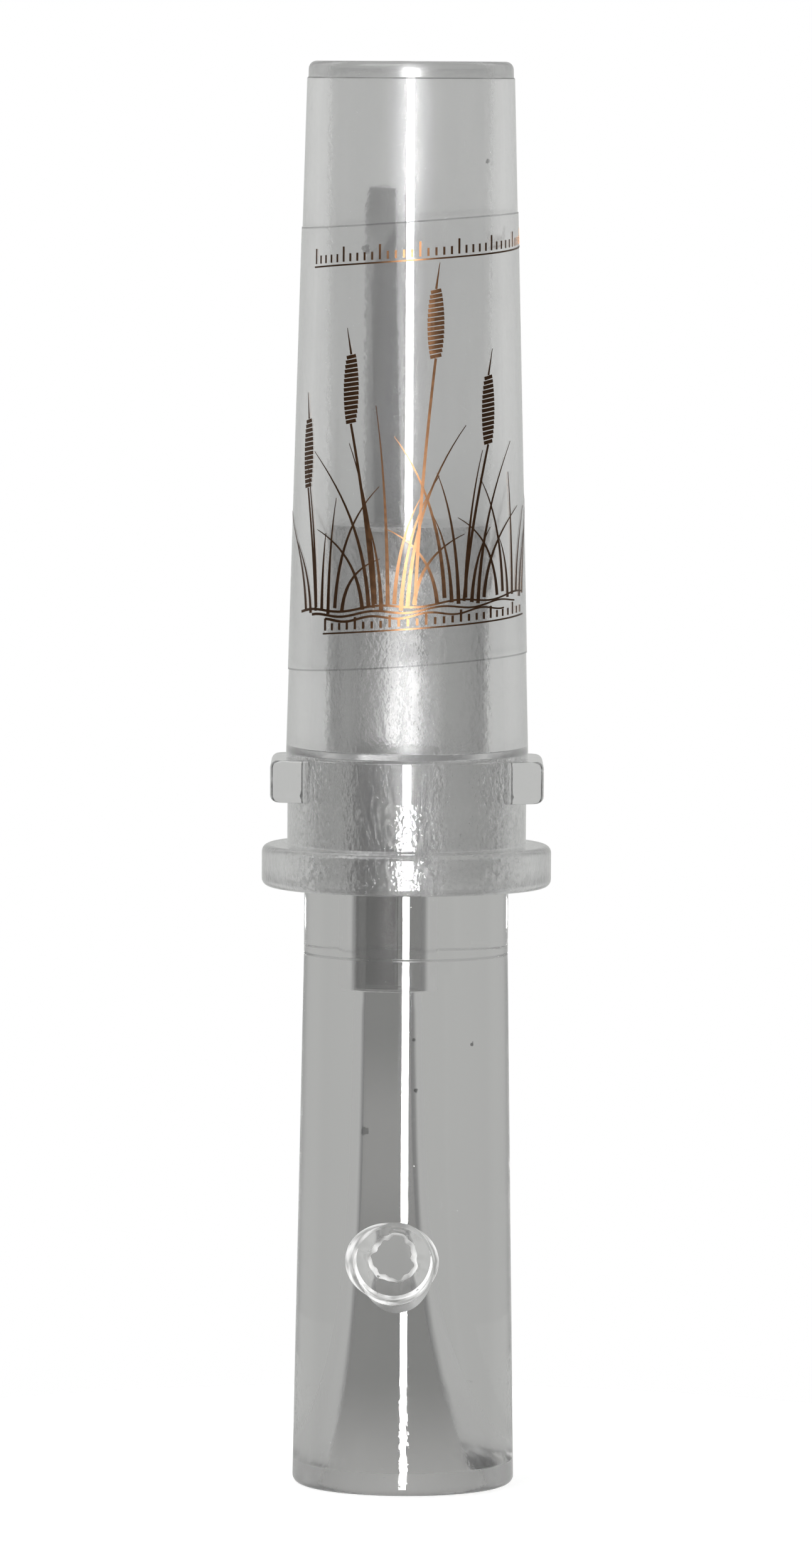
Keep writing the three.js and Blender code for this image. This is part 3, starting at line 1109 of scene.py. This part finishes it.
def makeWedge():
    shape = reedUnit
    face = shape["flat"] + shape["reedGap"] + shape["reedThickness"] + shape["wedgeGap"]
    rings = []
    soft = shape["wedgeEdge"]
    levels = [wedgeLow, wedgeLow + soft, (wedgeLow + wedgeHigh) / 2, wedgeHigh - soft, wedgeHigh]
    for height in levels:
        lean = (wedgeHigh - height) * math.tan(math.radians(shape["wedgeRelief"]))
        inset = soft if height in (wedgeLow, wedgeHigh) else 0.0
        radius = shape["boardRadius"] - inset
        mirrored = segmentSection(radius, -(face + lean + inset), height)
        rings.append([(-x - 2 * turning["coreOffset"], y, z) for x, y, z in mirrored])
    wedge = loftRings("wedge_block", rings, closed=False, capped=True)
    addOneLook(wedge, "frostedPlastic")
    return finishPiece(shadeRound(wedge), "wedge_body", "wedge_plastic", "wedge")


# Label film and its print

filmLooks = {
    "clearFilm": {
        **plainPlastic,
        "ior": 1.12,
        "coat": 0.25,
        "coatRoughness": 0.05,
        "bump": 0.1,
        "bumpDepth": 0.01,
        "tint": 0.985,
        "marks": {"Scratch Scale": 1400.0, "Base Roughness": 0.01, "Smudge Roughness": 0.05},
    },
    "filmEdge": {
        **plainPlastic,
        "ior": 1.12,
        "bump": 0.1,
        "bumpDepth": 0.01,
        "tint": 0.72,
        "marks": {"Scratch Scale": 1400.0, "Base Roughness": 0.05, "Smudge Roughness": 0.05},
    },
}
filmShape = {
    "gap": 0.02,
    "thickness": 0.06,
    "start": 22.5,
    "height": 43.8,
    "skew": 4.3,
    "slit": 0.5,
    "sides": 180,
    "rows": 6,
    "edgeBand": 0.16,
}


def filmRing(level, out):
    # Points round the film at a skewed level, from one side of the slit at the back to the other.
    shape = filmShape
    points = []
    gapAngle = shape["slit"] / 2 / barrelRadius(level)
    for side in range(shape["sides"] + 1):
        angle = -math.pi + gapAngle + (math.tau - 2 * gapAngle) * side / shape["sides"]
        height = level
        for _ in range(3):
            radius = barrelRadius(height) + out
            height = level + radius * math.sin(angle) * math.tan(math.radians(shape["skew"]))
        points.append((radius * math.sin(angle), -radius * math.cos(angle), height))
    return points


def makeLabelFilm():
    shape = filmShape
    low = barrelLow + shape["start"]
    high = low + shape["height"]
    band = shape["edgeBand"]
    rows = shape["rows"]
    between = [low + (high - low) * row / rows for row in range(1, rows)]
    inner, outer = shape["gap"], shape["gap"] + shape["thickness"]
    rings = []
    for level in [low, low + band] + between + [high - band, high]:
        rings.append(filmRing(level, outer) + filmRing(level, inner)[::-1])
    film = loftRings("film_sleeve", rings, closed=False, capped=False)
    closeFilmEdges(film, len(rings[0]), len(rings))
    addLooks(film, filmLooks)
    return finishPiece(shadeRound(film), "barrel_body", "clear_film", "label_film")


def closeFilmEdges(film, ringLength, ringCount):
    # Closes the film's two cut edges with a strip of quads, and marks the bands beside them.
    build = bmesh.new()
    build.from_mesh(film.data)
    build.verts.ensure_lookup_table()
    half = ringLength // 2
    for ring in (0, ringCount - 1):
        start = ring * ringLength
        for index in range(half - 1):
            back = start + ringLength - 1 - index
            quad = (start + index, start + index + 1, back - 1, back)
            build.faces.new([build.verts[at] for at in quad])
    bmesh.ops.recalc_face_normals(build, faces=build.faces)
    build.faces.ensure_lookup_table()
    for face in build.faces:
        rows = {vertex.index // ringLength for vertex in face.verts}
        if rows <= {0, 1} or rows <= {ringCount - 2, ringCount - 1}:
            face.material_index = 1
    build.to_mesh(film.data)
    build.free()


inkLook = {
    "color": (0.085, 0.044, 0.023, 1),
    "roughness": 0.34,
    "metallic": 1.0,
    "fade": 0.25,
    "wearScale": 1800.0,
    "wearRoughness": 0.2,
}
inkShape = {
    "lift": 0.01,
    "thickness": 0.02,
    "step": 0.35,
}
meadowShape = {
    "base": 88.4,
    "rise": 0.075,      # the ground follows the film's skew
    "tufts": ((-9.5, 7, 15.0), (-2.0, 9, 20.0), (5.5, 8, 17.0), (12.5, 7, 13.0)),
    "spread": 64.0,
    "spreadWaver": 6.0,
    "lengthWaver": 0.28,
    "footWaver": 0.35,
    "foot": 5.2,        # width over which a tuft's blades leave the ground
    "width": 0.42,
    "bladeTip": 0.07,
    "heads": ((-6.0, 113.0, -1.6), (2.6, 119.5, 1.2), (8.6, 111.0, 1.8), (-12.0, 106.5, -1.0)),
    "stemLean": 1.6,
    "stemWidths": (0.34, 0.26),
    "headLength": 6.8,
    "headWidth": 1.7,
    "headRows": 15,
    "headOutline": (0.12, 0.78),    # start and length of the stretch of half a wave that it follows
    "headRowSlant": 0.12,
    "headRowWidth": 0.36,
    "spikeLength": 2.6,
    "spikeWidths": (0.24, 0.06),
    "ripples": 3,
    "rippleSpan": (-13.0, 28.0),    # the longest ripple's start and length
    "rippleInset": 2.0,
    "rippleDrop": 0.5,
    "rippleSteps": 40,
    "rippleHeight": 0.2,
    "rippleTurns": 22,
    "rippleWidths": (0.26, 0.16),
}
tickRows = (
    {"level": 122.6, "from": -11.0, "to": 17.0, "pitch": 0.8,
     "short": 0.8, "long": 1.5, "every": 5, "width": 0.22},
    {"level": 86.4, "from": -9.0, "to": 15.0, "pitch": 0.9,
     "short": 0.7, "long": 1.2, "every": 4, "width": 0.26},
)
tickLine = {
    "past": 0.3,
    "drop": 0.3,
    "width": 0.16,
}


def onFilm(side, height, out):
    # A point on the film: side is the way round from the front, in mm, and out the height over it.
    radius = barrelRadius(height) + filmShape["gap"] + filmShape["thickness"]
    angle = side / radius
    radius += out
    return Vector((radius * math.sin(angle), -radius * math.cos(angle), height)) * mm


def resample(points, step):
    # The same line in even steps.
    result = [points[0]]
    for a, b in zip(points, points[1:]):
        length = math.dist(a, b)
        count = max(1, math.ceil(length / step))
        for index in range(1, count + 1):
            share = index / count
            result.append((a[0] + (b[0] - a[0]) * share, a[1] + (b[1] - a[1]) * share))
    return result


def inkStroke(build, points, width, tipWidth=None):
    # One closed strip of ink on the film along a line of (side, height) points, tapering to its tip.
    line = resample(points, inkShape["step"])
    low = inkShape["lift"]
    high = low + inkShape["thickness"]
    tipWidth = width if tipWidth is None else tipWidth
    rows = []
    for index, (side, height) in enumerate(line):
        before = line[max(0, index - 1)]
        after = line[min(len(line) - 1, index + 1)]
        length = math.dist(before, after) or 1
        across = (-(after[1] - before[1]) / length, (after[0] - before[0]) / length)
        share = index / max(1, len(line) - 1)
        reach = (width + (tipWidth - width) * share) / 2
        left = (side + across[0] * reach, height + across[1] * reach)
        right = (side - across[0] * reach, height - across[1] * reach)
        rows.append([build.verts.new(onFilm(*left, low)), build.verts.new(onFilm(*right, low)),
                     build.verts.new(onFilm(*right, high)), build.verts.new(onFilm(*left, high))])
    for a, b in zip(rows, rows[1:]):
        for index in range(4):
            following = (index + 1) % 4
            build.faces.new((a[index], a[following], b[following], b[index]))
    build.faces.new(rows[0][::-1])
    build.faces.new(rows[-1])


def bezier(start, control, end, steps=14):
    points = []
    for step in range(steps + 1):
        t = step / steps
        points.append(tuple((1 - t) ** 2 * a + 2 * t * (1 - t) * b + t * t * c
                            for a, b, c in zip(start, control, end)))
    return points


def meadowStrokes(build):
    # Tufts of marsh grass and reed heads along the lower part of the film, over a few ripples.
    shape = meadowShape
    for root, blades, length in shape["tufts"]:
        base = shape["base"] + shape["rise"] * root
        for blade in range(blades):
            share = blade / (blades - 1)
            lean = shape["spread"] * (share - 0.5) + shape["spreadWaver"] * math.sin(blade * 1.9 + root)
            angle = math.radians(lean)
            waver = shape["lengthWaver"]
            reach = length * (1 - waver + waver * math.sin(blade * 2.4 + root))
            start = (root + shape["foot"] * (share - 0.5),
                     base + shape["footWaver"] * math.sin(blade * 2.1 + root))
            control = (start[0] + 0.1 * reach * math.sin(angle), base + reach * 0.6)
            end = (start[0] + reach * math.sin(angle), base + reach * math.cos(angle))
            inkStroke(build, bezier(start, control, end), shape["width"], shape["bladeTip"])
    bulge, length = shape["headOutline"]
    for topSide, topHeight, lean in shape["heads"]:
        root = topSide - lean * shape["stemLean"]
        base = shape["base"] + shape["rise"] * root
        low = topHeight - shape["headLength"]
        stem = bezier((root, base), (root + lean * 0.4, (base + low) / 2), (topSide, low))
        inkStroke(build, stem, *shape["stemWidths"])
        for row in range(shape["headRows"]):
            share = (row + 0.5) / shape["headRows"]
            level = low + shape["headLength"] * share
            half = shape["headWidth"] / 2 * math.sin(math.pi * (bulge + share * length)) ** 0.5
            slant = shape["headRowSlant"]
            ends = [(topSide - half, level - slant), (topSide + half, level + slant)]
            inkStroke(build, ends, shape["headRowWidth"])
        spike = [(topSide, topHeight), (topSide + lean * 0.3, topHeight + shape["spikeLength"])]
        inkStroke(build, spike, *shape["spikeWidths"])
    left, span = shape["rippleSpan"]
    for ripple in range(shape["ripples"]):
        inset = shape["rippleInset"] * ripple
        points = []
        for step in range(shape["rippleSteps"] + 1):
            along = step / shape["rippleSteps"]
            side = left + inset + (span - 2 * inset) * along
            wave = shape["rippleHeight"] * math.sin(along * shape["rippleTurns"] + ripple)
            ground = shape["base"] + shape["rise"] * side
            points.append((side, ground - shape["rippleDrop"] * ripple + wave))
        inkStroke(build, points, *shape["rippleWidths"])


def tickStrokes(build):
    # Rows of plain tick marks across the film, each on a thin line.
    rise = meadowShape["rise"]
    for row in tickRows:
        count = int((row["to"] - row["from"]) / row["pitch"])
        for tick in range(count + 1):
            side = row["from"] + row["pitch"] * tick
            reach = row["long"] if tick % row["every"] == 0 else row["short"]
            level = row["level"] + rise * side
            inkStroke(build, [(side, level), (side, level + reach)], row["width"])
        sides = (row["from"] - tickLine["past"], row["to"] + tickLine["past"])
        ends = [(side, row["level"] + rise * side - tickLine["drop"]) for side in sides]
        inkStroke(build, ends, tickLine["width"])


def inkMaterial():
    material = bpy.data.materials.new("copperPrint")
    material.use_nodes = True
    tree = material.node_tree
    noise = addNode(tree, "ShaderNodeTexNoise", {
        "Vector": objectPlace(tree), "Scale": inkLook["wearScale"]})
    fade = inkLook["fade"]
    wear = mathNode(tree, "MULTIPLY_ADD", noise.outputs["Fac"], fade, 1 - fade / 2)
    worn = mixColors(tree, 1.0, inkLook["color"], wear, "MULTIPLY")
    spread = inkLook["wearRoughness"]
    rough = mathNode(tree, "MULTIPLY_ADD", noise.outputs["Fac"], spread, inkLook["roughness"] - spread / 2)
    shader = tree.nodes["Principled BSDF"]
    feed(tree, shader.inputs["Metallic"], inkLook["metallic"])
    feed(tree, shader.inputs["Base Color"], worn)
    feed(tree, shader.inputs["Roughness"], rough)
    return material


def makePrint(name, strokes, material):
    build = bmesh.new()
    strokes(build)
    bmesh.ops.recalc_face_normals(build, faces=build.faces)
    mesh = bpy.data.meshes.new(name)
    build.to_mesh(mesh)
    build.free()
    mesh.materials.append(material)
    piece = bpy.data.objects.new(name, mesh)
    bpy.context.scene.collection.objects.link(piece)
    return finishPiece(piece, "barrel_body", "copper_print")


# Stage, light and camera

stageLook = {
    "floorRadius": 0.075,
    "floorSides": 128,
    "floorDrop": 0.0001,               # the floor lies this far under the call's foot
    "floorColor": (0.93, 0.93, 0.925, 1),
    "floorRoughness": 0.9,
    "floorGlow": 0.66,
    "paper": (0.555, 0.56, 0.55, 1),   # the grey paper behind the call, as its plastic shows it
    "room": (0.26, 0.262, 0.26, 1),    # the room beside and before it
    "paperFrom": 0.12,                 # share of +Y in the direction at which the paper starts
    "paperTo": 0.5,
}
# The windows' height comes from where their reflections show in the plastic
lamps = (
    {"name": "upperWindow", "at": (0.0, -1.3, 0.31), "size": (0.18, 0.42), "radiance": 110.0,
     "hiddenTo": ("diffuse", "transmission")},
    {"name": "lowerWindow", "at": (0.0, -1.3, -0.2007), "size": (0.17, 0.38), "radiance": 110.0,
     "hiddenTo": ("diffuse", "transmission")},
    {"name": "lowerSash", "at": (0.0, -1.3, -0.0227), "size": (0.34, 0.024), "radiance": 90.0,
     "hiddenTo": ("diffuse", "glossy")},
    {"name": "overhead", "at": (-0.35, -0.25, 0.8), "size": (0.5, 0.5), "radiance": 2.0, "aim": 0.07},
)
cameraPlace = {
    "distance": 1.0,
    "height": 0.1418,
    "aim": (-0.00009, 0.0, 0.07),
    "roll": 0.35,       # degrees; the call leans a little to the right in the photo
    "lens": 231.15,
    "sensor": 36.0,
}


def cameraRays(tree):
    return tree.nodes.new("ShaderNodeLightPath").outputs["Is Camera Ray"]


def makeFloor():
    # A small round pale stand that keeps the call's shadow; seen through the plastic it is grey paper.
    mesh = bpy.data.meshes.new("floor")
    build = bmesh.new()
    bmesh.ops.create_circle(build, cap_ends=True, radius=stageLook["floorRadius"],
                            segments=stageLook["floorSides"])
    build.to_mesh(mesh)
    build.free()
    floor = bpy.data.objects.new("floor", mesh)
    floor.location.z = -stageLook["floorDrop"]
    bpy.context.scene.collection.objects.link(floor)
    material = bpy.data.materials.new("paleFloor")
    material.use_nodes = True
    tree = material.node_tree
    shader = tree.nodes["Principled BSDF"]
    for label, value in (
        ("Base Color", stageLook["floorColor"]),
        ("Roughness", stageLook["floorRoughness"]),
        ("Emission Color", (1, 1, 1, 1)),
        ("Emission Strength", stageLook["floorGlow"]),
    ):
        feed(tree, shader.inputs[label], value)
    paper = addNode(tree, "ShaderNodeEmission", {"Color": stageLook["paper"]})
    mix = addNode(tree, "ShaderNodeMixShader", {
        "Fac": cameraRays(tree), 1: paper.outputs[0], 2: shader.outputs[0]})
    tree.links.new(mix.outputs[0], tree.nodes["Material Output"].inputs["Surface"])
    mesh.materials.append(material)
    floor.visible_glossy = False


def makeWorld():
    # White to the camera; the plastic passes on and reflects grey paper behind it and a dimmer room.
    world = bpy.data.worlds.new("studio")
    bpy.context.scene.world = world
    world.use_nodes = True
    tree = world.node_tree
    place = addNode(tree, "ShaderNodeTexCoord").outputs["Generated"]
    split = addNode(tree, "ShaderNodeSeparateXYZ", {0: place})
    ramp = addNode(tree, "ShaderNodeMapRange", {
        "Value": split.outputs["Y"],
        "From Min": stageLook["paperFrom"],
        "From Max": stageLook["paperTo"],
    }, interpolation_type="SMOOTHSTEP")
    around = mixColors(tree, ramp.outputs["Result"], stageLook["room"], stageLook["paper"])
    seen = mixColors(tree, cameraRays(tree), around, (1, 1, 1, 1))
    tree.links.new(seen, tree.nodes["Background"].inputs["Color"])


def makeLamps():
    for lamp in lamps:
        data = bpy.data.lights.new(lamp["name"], "AREA")
        data.shape = "RECTANGLE"
        data.size, data.size_y = lamp["size"]
        data.energy = lamp["radiance"] * math.pi * data.size * data.size_y
        light = bpy.data.objects.new(lamp["name"], data)
        light.location = lamp["at"]
        aim = Vector((0, 0, lamp.get("aim", lamp["at"][2])))
        light.rotation_euler = (aim - light.location).to_track_quat("-Z", "Y").to_euler()
        for rays in lamp.get("hiddenTo", ()):
            setattr(light, "visible_" + rays, False)
        bpy.context.scene.collection.objects.link(light)


def makeCamera():
    data = bpy.data.cameras.new("photoCamera")
    data.sensor_fit = "VERTICAL"
    data.sensor_height = cameraPlace["sensor"]
    data.lens = cameraPlace["lens"]
    data.clip_start = 0.01
    camera = bpy.data.objects.new("photoCamera", data)
    camera.location = (0, -cameraPlace["distance"], cameraPlace["height"])
    aim = Vector(cameraPlace["aim"])
    turn = (aim - camera.location).to_track_quat("-Z", "Y")
    roll = Quaternion((0, 0, 1), math.radians(cameraPlace["roll"]))
    camera.rotation_euler = (turn @ roll).to_euler()
    bpy.context.scene.collection.objects.link(camera)
    bpy.context.scene.camera = camera


def setLook():
    scene = bpy.context.scene
    scene.view_settings.view_transform = "Standard"
    scene.cycles.sample_clamp_indirect = 30
    scene.cycles.max_bounces = 40
    scene.cycles.transmission_bounces = 36
    scene.cycles.glossy_bounces = 12
    scene.cycles.diffuse_bounces = 3


makeCamera()
makeWorld()
makeLamps()
makeFloor()
setLook()
print("stage ready")
makeBarrel()
makeInsert()
print("bodies ready")
makeToneBoard()
makeReed()
makeWedge()
print("reed unit ready")
makeLabelFilm()
ink = inkMaterial()
makePrint("print_meadow", meadowStrokes, ink)
makePrint("print_ticks", tickStrokes, ink)
print("label ready")
